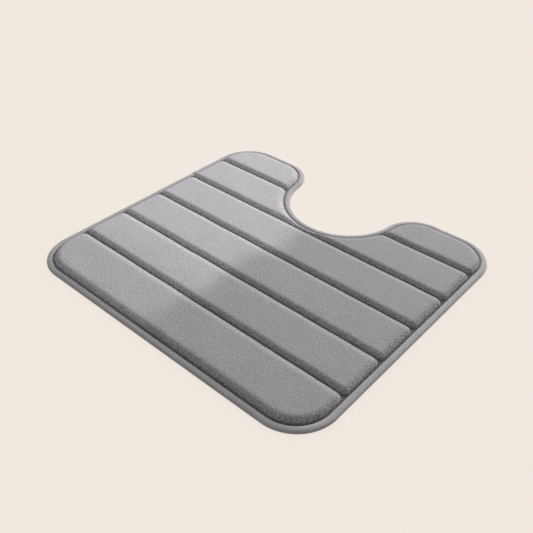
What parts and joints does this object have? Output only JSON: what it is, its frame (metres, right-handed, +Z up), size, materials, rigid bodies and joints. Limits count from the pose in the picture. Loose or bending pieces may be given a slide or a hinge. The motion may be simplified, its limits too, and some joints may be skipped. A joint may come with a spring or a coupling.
{
  "type": "bath mat",
  "caption": "Flat padded bath mat with raised cross bands, a bound edge and a U-shaped cut-out at the back that fits round a toilet pedestal.",
  "frame": {"origin": "on the floor, under the middle of the mat's bounding box", "axes": "+Z up from the floor, +X across the width, +Y towards the back where the cut-out opens"},
  "size_m": [0.61, 0.555, 0.013],
  "materials": {
    "foam": "open-cell slow-recovery foam, matte",
    "fleece": "short dense fleece pile, soft sheen",
    "grip_cloth": "plain woven synthetic cloth, matte",
    "grip_dots": "moulded soft PVC, satin",
    "tape": "knitted polyester tape, soft sheen",
    "thread": "spun polyester sewing thread",
    "label": "blank satin ribbon"
  },
  "bodies": {
    "root": {"foam_core": "foam", "top_cover": "fleece", "backing_cloth": "grip_cloth", "grip_dots": "grip_dots", "edge_binding": "tape", "needle_thread": "thread", "bobbin_thread": "thread", "care_label": "label"}
  },
  "joints": []
}
